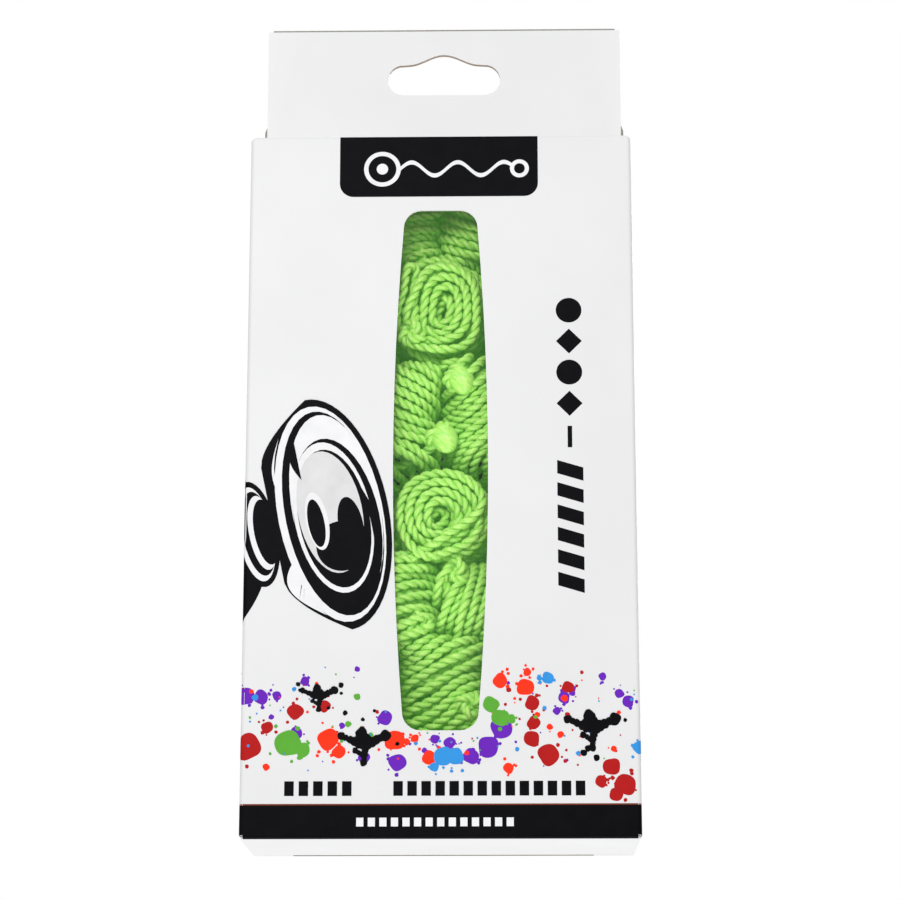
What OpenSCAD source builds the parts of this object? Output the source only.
// Folding window carton with a hang tab, packed with 25 hanks of yo-yo string.
// The front panel faces -Y, the carton stands on Z = 0 and is centred on X and Y.

/* [Carton] */
// Width of the carton, left to right
carton_w = 60; // [60:1:66]
// Depth of the carton, front to back
carton_d = 25; // [25:1:28]
// Height of the carton, without its hang tab
carton_h = 110.7; // [110:0.1:120]
// Thickness of the paperboard
board_t = 0.4; // [0.3:0.05:0.45]
// Outer radius of the folds between the front, side and back panels
fold_r = 0.6; // [0.5:0.1:0.9]

/* [Hang tab] */
// Height of the hang tab above the carton
tab_h = 28.3; // [26:0.1:34]
// Height above the carton at which the tab becomes narrower
tab_flare_h = 10; // [8:1:14]
// How much narrower the tab is on each side above its flare
tab_inset = 0.4; // [0.2:0.1:1.5]
// Radius of the tab's top corners
tab_corner_r = 0.8; // [0.5:0.1:3]

/* [Hang hole] */
// Width of the hang hole
hole_w = 18.9; // [16:0.1:22]
// Radius of the hole's two round ends
hole_end_r = 2.7; // [2:0.1:3]
// How far the hole's apex rises above its round ends
hole_rise = 1.8; // [1:0.1:3]
// Half the width over which the apex rises
hole_rise_half_w = 6; // [4:0.5:6]
// Height of the hole's flat lower edge above the carton
hole_h = 16.4; // [14:0.1:20]

/* [Window] */
// Width of the window at its widest
window_w = 14.6; // [12:0.1:20]
// Height of the window
window_h = 82.2; // [70:0.1:90]
// Height of the window's middle above the table
window_z = 57.2; // [54:0.1:60]
// Radius of the window's bowed sides
window_bow_r = 480; // [400:10:900]
// Radius of the window's corners
window_corner_r = 2.8; // [1:0.1:4]
// Thickness of the clear film behind the window
film_t = 0.15; // [0.05:0.05:0.2]

/* [Flaps] */
// Length of the two tuck flaps
tuck_l = 9; // [7:0.5:9]
// Length of the four dust flaps
dust_l = 16; // [12:0.5:16]
// Room between a crease and the flap that turns on it
crease_gap = 0.05; // [0.03:0.01:0.08]
// Room between a closing panel and the dust flaps under it
lid_gap = 0.1; // [0.05:0.05:0.2]
// Room between the back panel and a tuck flap
tuck_gap = 0.7; // [0.7:0.05:0.9]
// Width of the bottom panel's shoulders, which cover the back panel's edge
shoulder_w = 6.4; // [4:0.1:10]

/* [Strings] */
// Width of the space that each hank of string fills
hank_w = 13.8; // [12:0.1:13.8]
// Depth of the space that each hank of string fills
hank_d = 21.8; // [18:0.1:21.8]
// Distance from one hank to the next in a layer
hank_pitch = 14.6; // [14.2:0.1:14.6]
// Room between one layer of hanks and the next
layer_gap = 0.4; // [0.2:0.1:1]

/* [Hidden] */
$fn = 48;

board_colour = [0.94, 0.94, 0.93];
core_colour = [0.90, 0.88, 0.84];
film_colour = [0.80, 0.90, 0.95, 0.30];
string_colour = [0.42, 0.88, 0.26];

// Faces of the carton
front_y = -carton_d / 2;
back_y = carton_d / 2;
side_x = carton_w / 2;
front_inner_y = front_y + board_t;
back_inner_y = back_y - board_t;
side_inner_x = side_x - board_t;
flat_x = side_x - fold_r;
flat_y = back_y - fold_r;

// Crease axes, given for the top closure, because the bottom closure is its mirror image
lid_axis_z = carton_h - board_t;
dust_axis_z = carton_h - 2 * board_t - lid_gap;
tuck_axis_y = back_inner_y - tuck_gap - board_t;
strip_top = dust_axis_z + board_t;
strip_bottom = carton_h - strip_top;
flap_start = board_t + crease_gap;
lid_half_w = side_x - 0.2;
tuck_half_w = side_x - 1.2;
tuck_corner_r = 4;
crease_half_w = flat_x;
dust_crease_half = flat_y - 0.5;

// Outline of a dust flap: its front and rear edges slope in so that it clears the lid
dust_front_offset = 1;
dust_front_slope = 0.55;
dust_rear_offset = 22.4;
dust_rear_slope = 0.25;

// Glue flap: its length, and how far its two ends are cut back
glue_l = 12;
glue_end = 1.6;
glue_taper = 3;

// Hang tab
tab_top = carton_h + tab_h;
tab_axis_z = tab_top - board_t;
tab_ply_bottom = carton_h + 2;
tab_half_w = side_x - tab_inset;
tab_flare_run = 1;
tab_fold_half_w = tab_half_w - tab_corner_r;

// Film: how far it is glued past the window on every side
film_margin = 5.5;

// Heights at which one layer of hanks ends and the next begins, bottom to top
layer_z = [1.4, 17, 31, 43, 57, 76, 92, 106];
layer_count = len(layer_z) - 1;
hank_y = -0.6;

// Layers hold four and three hanks in turn, so each layer sits in the gaps of the one below
function hanks_in(layer) = 4 - layer % 2;
hanks = [
    for (layer = [0 : layer_count - 1])
        for (place = [0 : hanks_in(layer) - 1])
            [layer, place]
];
function string_name(number) = str("string_", number < 10 ? "0" : "", number);

// ---- Outlines ----

// Half the window's width at a height from its middle: the sides bow outward
function window_half(z) = window_w / 2 - z * z / (2 * window_bow_r);
window_corner_z = window_h / 2 - window_corner_r;
window_corner_x = window_half(window_corner_z) - window_corner_r;
function arc(centre, r, angles) = [for (a = angles) centre + r * [cos(a), sin(a)]];
function mirrored(points) = [for (i = [len(points) - 1 : -1 : 0]) [-points[i][0], points[i][1]]];
window_right = concat(
    arc([window_corner_x, window_corner_z], window_corner_r, [90 : -15 : 15]),
    [for (step = [6 : -1 : -6]) [window_half(window_corner_z * step / 6), window_corner_z * step / 6]],
    arc([window_corner_x, -window_corner_z], window_corner_r, [-15 : -15 : -90])
);
window_outline = concat(window_right, mirrored(window_right));

// Height of the hang hole's upper edge over its lower one: a smooth apex between low shoulders
function hole_top(x) = 2 * hole_end_r + hole_rise * (1 + cos(180 * x / hole_rise_half_w)) / 2;
hole_end_x = hole_w / 2 - hole_end_r;
hole_outline = concat(
    arc([hole_end_x, hole_end_r], hole_end_r, [-90 : 15 : 75]),
    [for (step = [8 : -1 : -8]) [hole_rise_half_w * step / 8, hole_top(hole_rise_half_w * step / 8)]],
    arc([-hole_end_x, hole_end_r], hole_end_r, [105 : 15 : 270])
);

// Back panel with its hang tab, and with notches for the bottom panel's shoulders
notch_x = side_x - shoulder_w;
notch_z = strip_bottom;
back_outline = concat(
    [
        [-flat_x, notch_z], [-notch_x, notch_z], [-notch_x, 0],
        [notch_x, 0], [notch_x, notch_z], [flat_x - board_t, notch_z],
        [flat_x - board_t, strip_top], [side_x, strip_top + lid_gap / 2],
        [side_x, carton_h + tab_flare_h], [tab_half_w, carton_h + tab_flare_h + tab_flare_run]
    ],
    [[tab_half_w, tab_axis_z], [-tab_half_w, tab_axis_z]],
    [
        [-tab_half_w, carton_h + tab_flare_h + tab_flare_run], [-side_x, carton_h + tab_flare_h],
        [-side_x, strip_top + lid_gap / 2], [-flat_x, strip_top]
    ]
);

// ---- Building blocks ----

module slab(low, high) {
    translate(low)
        cube(high - low);
}

// An outline in X and Z, made into a sheet between two Y values
module sheet_xz(outline, y_low, y_high) {
    translate([0, y_high, 0])
        rotate([90, 0, 0])
            linear_extrude(y_high - y_low)
                polygon(outline);
}

// The round bead of board along a crease that runs left to right
module crease_x(y, z, half_w) {
    translate([-half_w, y, z])
        rotate([0, 90, 0])
            cylinder(r = board_t, h = 2 * half_w);
}

// The round bead of board along a crease that runs front to back
module crease_y(x, z, half_l) {
    translate([x, half_l, z])
        rotate([90, 0, 0])
            cylinder(r = board_t, h = 2 * half_l);
}

// A quarter-round fold between two upright panels, in one of the four corners
module corner_fold(x, y, quadrant) {
    translate([x, y, strip_bottom])
        rotate([0, 0, 90 * quadrant])
            linear_extrude(strip_top - strip_bottom)
                intersection() {
                    difference() {
                        circle(r = fold_r);
                        circle(r = fold_r - board_t);
                    }
                    square(fold_r);
                }
}

// The bottom closure is the top closure turned over
module turned_over() {
    translate([0, 0, carton_h])
        mirror([0, 0, 1])
            children();
}

module left_right_mirror() {
    mirror([1, 0, 0])
        children();
}

module hang_hole() {
    translate([0, 0, carton_h + hole_h])
        sheet_xz(hole_outline, back_y - 2, back_y + 2);
}

// ---- Sleeve ----

module front_panel() {
    color(board_colour) {
        difference() {
            slab([-flat_x, front_y, board_t], [flat_x, front_inner_y, lid_axis_z]);
            translate([0, 0, window_z])
                sheet_xz(window_outline, front_y - 1, front_inner_y + 1);
        }
        crease_x(front_inner_y, lid_axis_z, crease_half_w);
        crease_x(front_inner_y, board_t, crease_half_w);
    }
}

module back_panel() {
    color(board_colour)
        difference() {
            union() {
                sheet_xz(back_outline, back_inner_y, back_y);
                intersection() {
                    crease_x(back_inner_y, tab_axis_z, tab_fold_half_w);
                    slab([-side_x, back_y - 2, tab_axis_z], [side_x, back_y + 2, tab_top]);
                }
            }
            hang_hole();
        }
}

// Second ply of the hang tab, folded over the top and glued to the front of the first
module hang_tab_ply() {
    color(board_colour)
        difference() {
            slab(
                [-tab_half_w, back_inner_y - board_t, tab_ply_bottom],
                [tab_half_w, back_inner_y, tab_axis_z]
            );
            hang_hole();
        }
}

module side_creases() {
    crease_y(side_inner_x, dust_axis_z, dust_crease_half);
    crease_y(side_inner_x, carton_h - dust_axis_z, dust_crease_half);
}

module left_side_panel() {
    color(board_colour) {
        slab([-side_x, -flat_y, carton_h - dust_axis_z], [-side_inner_x, flat_y, dust_axis_z]);
        corner_fold(-flat_x, -flat_y, 2);
        corner_fold(-flat_x, flat_y, 1);
        left_right_mirror()
            side_creases();
    }
}

// The right side panel's rear edge is a cut edge that is glued over the glue flap
module right_side_panel() {
    color(board_colour) {
        slab([side_inner_x, -flat_y, carton_h - dust_axis_z], [side_x, back_y, dust_axis_z]);
        corner_fold(flat_x, -flat_y, 3);
        side_creases();
    }
}

module glue_flap() {
    color(core_colour) {
        corner_fold(flat_x - board_t, flat_y, 0);
        translate([side_inner_x - board_t, 0, 0])
            rotate([90, 0, 90])
                linear_extrude(board_t)
                    polygon([
                        [flat_y, glue_end],
                        [flat_y, carton_h - glue_end],
                        [flat_y - glue_l, carton_h - glue_end - glue_taper],
                        [flat_y - glue_l, glue_end + glue_taper]
                    ]);
    }
}

module window_film() {
    film_half_w = window_w / 2 + film_margin;
    film_half_h = window_h / 2 + film_margin;
    color(film_colour)
        slab(
            [-film_half_w, front_inner_y, window_z - film_half_h],
            [film_half_w, front_inner_y + film_t, window_z + film_half_h]
        );
}

// ---- Top and bottom closures ----

module closing_plate() {
    slab(
        [-lid_half_w, front_inner_y + flap_start, lid_axis_z],
        [lid_half_w, tuck_axis_y, carton_h]
    );
    crease_x(tuck_axis_y, lid_axis_z, tuck_half_w);
}

module top_closing_panel() {
    color(board_colour)
        closing_plate();
}

// The bottom panel has a shoulder at each rear corner that covers the back panel's cut edge
module bottom_closing_panel() {
    color(board_colour)
        turned_over() {
            closing_plate();
            for (side = [-1, 1])
                translate([side * (side_x - shoulder_w / 2), 0, 0])
                    slab(
                        [-shoulder_w / 2 + 0.2, tuck_axis_y - 1, lid_axis_z],
                        [shoulder_w / 2 - 0.2, back_y, carton_h]
                    );
        }
}

module tuck_plate() {
    tuck_end_z = lid_axis_z - tuck_l;
    corner_z = tuck_end_z + tuck_corner_r;
    corner_x = tuck_half_w - tuck_corner_r;
    right_edge = concat(
        [[tuck_half_w, lid_axis_z - flap_start]],
        arc([corner_x, corner_z], tuck_corner_r, [0 : -15 : -90])
    );
    sheet_xz(concat(right_edge, mirrored(right_edge)), tuck_axis_y, tuck_axis_y + board_t);
}

module top_tuck_flap() {
    color(board_colour)
        tuck_plate();
}

module bottom_tuck_flap() {
    color(board_colour)
        turned_over()
            tuck_plate();
}

// A dust flap on the right-hand side panel's top crease
module dust_plate() {
    near_x = side_inner_x - flap_start;
    far_x = side_inner_x - dust_l;
    function front_edge(x) = front_inner_y + dust_front_offset + dust_front_slope * (side_inner_x - x);
    function rear_edge(x) = front_inner_y + dust_rear_offset - dust_rear_slope * (side_inner_x - x);
    translate([0, 0, dust_axis_z])
        linear_extrude(board_t)
            polygon([
                [near_x, front_edge(near_x)],
                [near_x, rear_edge(near_x)],
                [far_x, rear_edge(far_x)],
                [far_x, front_edge(far_x)]
            ]);
}

module top_right_dust_flap() {
    color(board_colour)
        dust_plate();
}

module top_left_dust_flap() {
    color(board_colour)
        left_right_mirror()
            dust_plate();
}

module bottom_right_dust_flap() {
    color(board_colour)
        turned_over()
            dust_plate();
}

module bottom_left_dust_flap() {
    color(board_colour)
        turned_over()
            left_right_mirror()
                dust_plate();
}

// ---- Strings ----

// A flat outline with round ends, whichever way it is longer
module round_ended(width, height) {
    thin = min(width, height);
    for (end = [-1, 1])
        translate([end * (width - thin) / 2, end * (height - thin) / 2])
            circle(d = thin);
    square([width > height ? width - thin : width, width > height ? height : height - thin], center = true);
}

// The outer shape of one hank: layers of three stand end-on, layers of four lie front to back
module string_hank(number) {
    layer = hanks[number - 1][0];
    place = hanks[number - 1][1];
    count = hanks_in(layer);
    low = layer_z[layer];
    height = layer_z[layer + 1] - low - layer_gap;
    color(string_colour)
        translate([(place - (count - 1) / 2) * hank_pitch, hank_y, low + height / 2])
            if (count == 3) {
                rotate([90, 0, 0])
                    linear_extrude(hank_d, center = true)
                        round_ended(hank_w, height);
            } else {
                rotate([90, 0, 90])
                    linear_extrude(hank_w, center = true)
                        round_ended(hank_d, height);
            }
}

front_panel();
back_panel();
hang_tab_ply();
left_side_panel();
right_side_panel();
glue_flap();
top_closing_panel();
top_tuck_flap();
top_left_dust_flap();
top_right_dust_flap();
bottom_closing_panel();
bottom_tuck_flap();
bottom_left_dust_flap();
bottom_right_dust_flap();
window_film();
for (number = [1 : len(hanks)])
    string_hank(number);
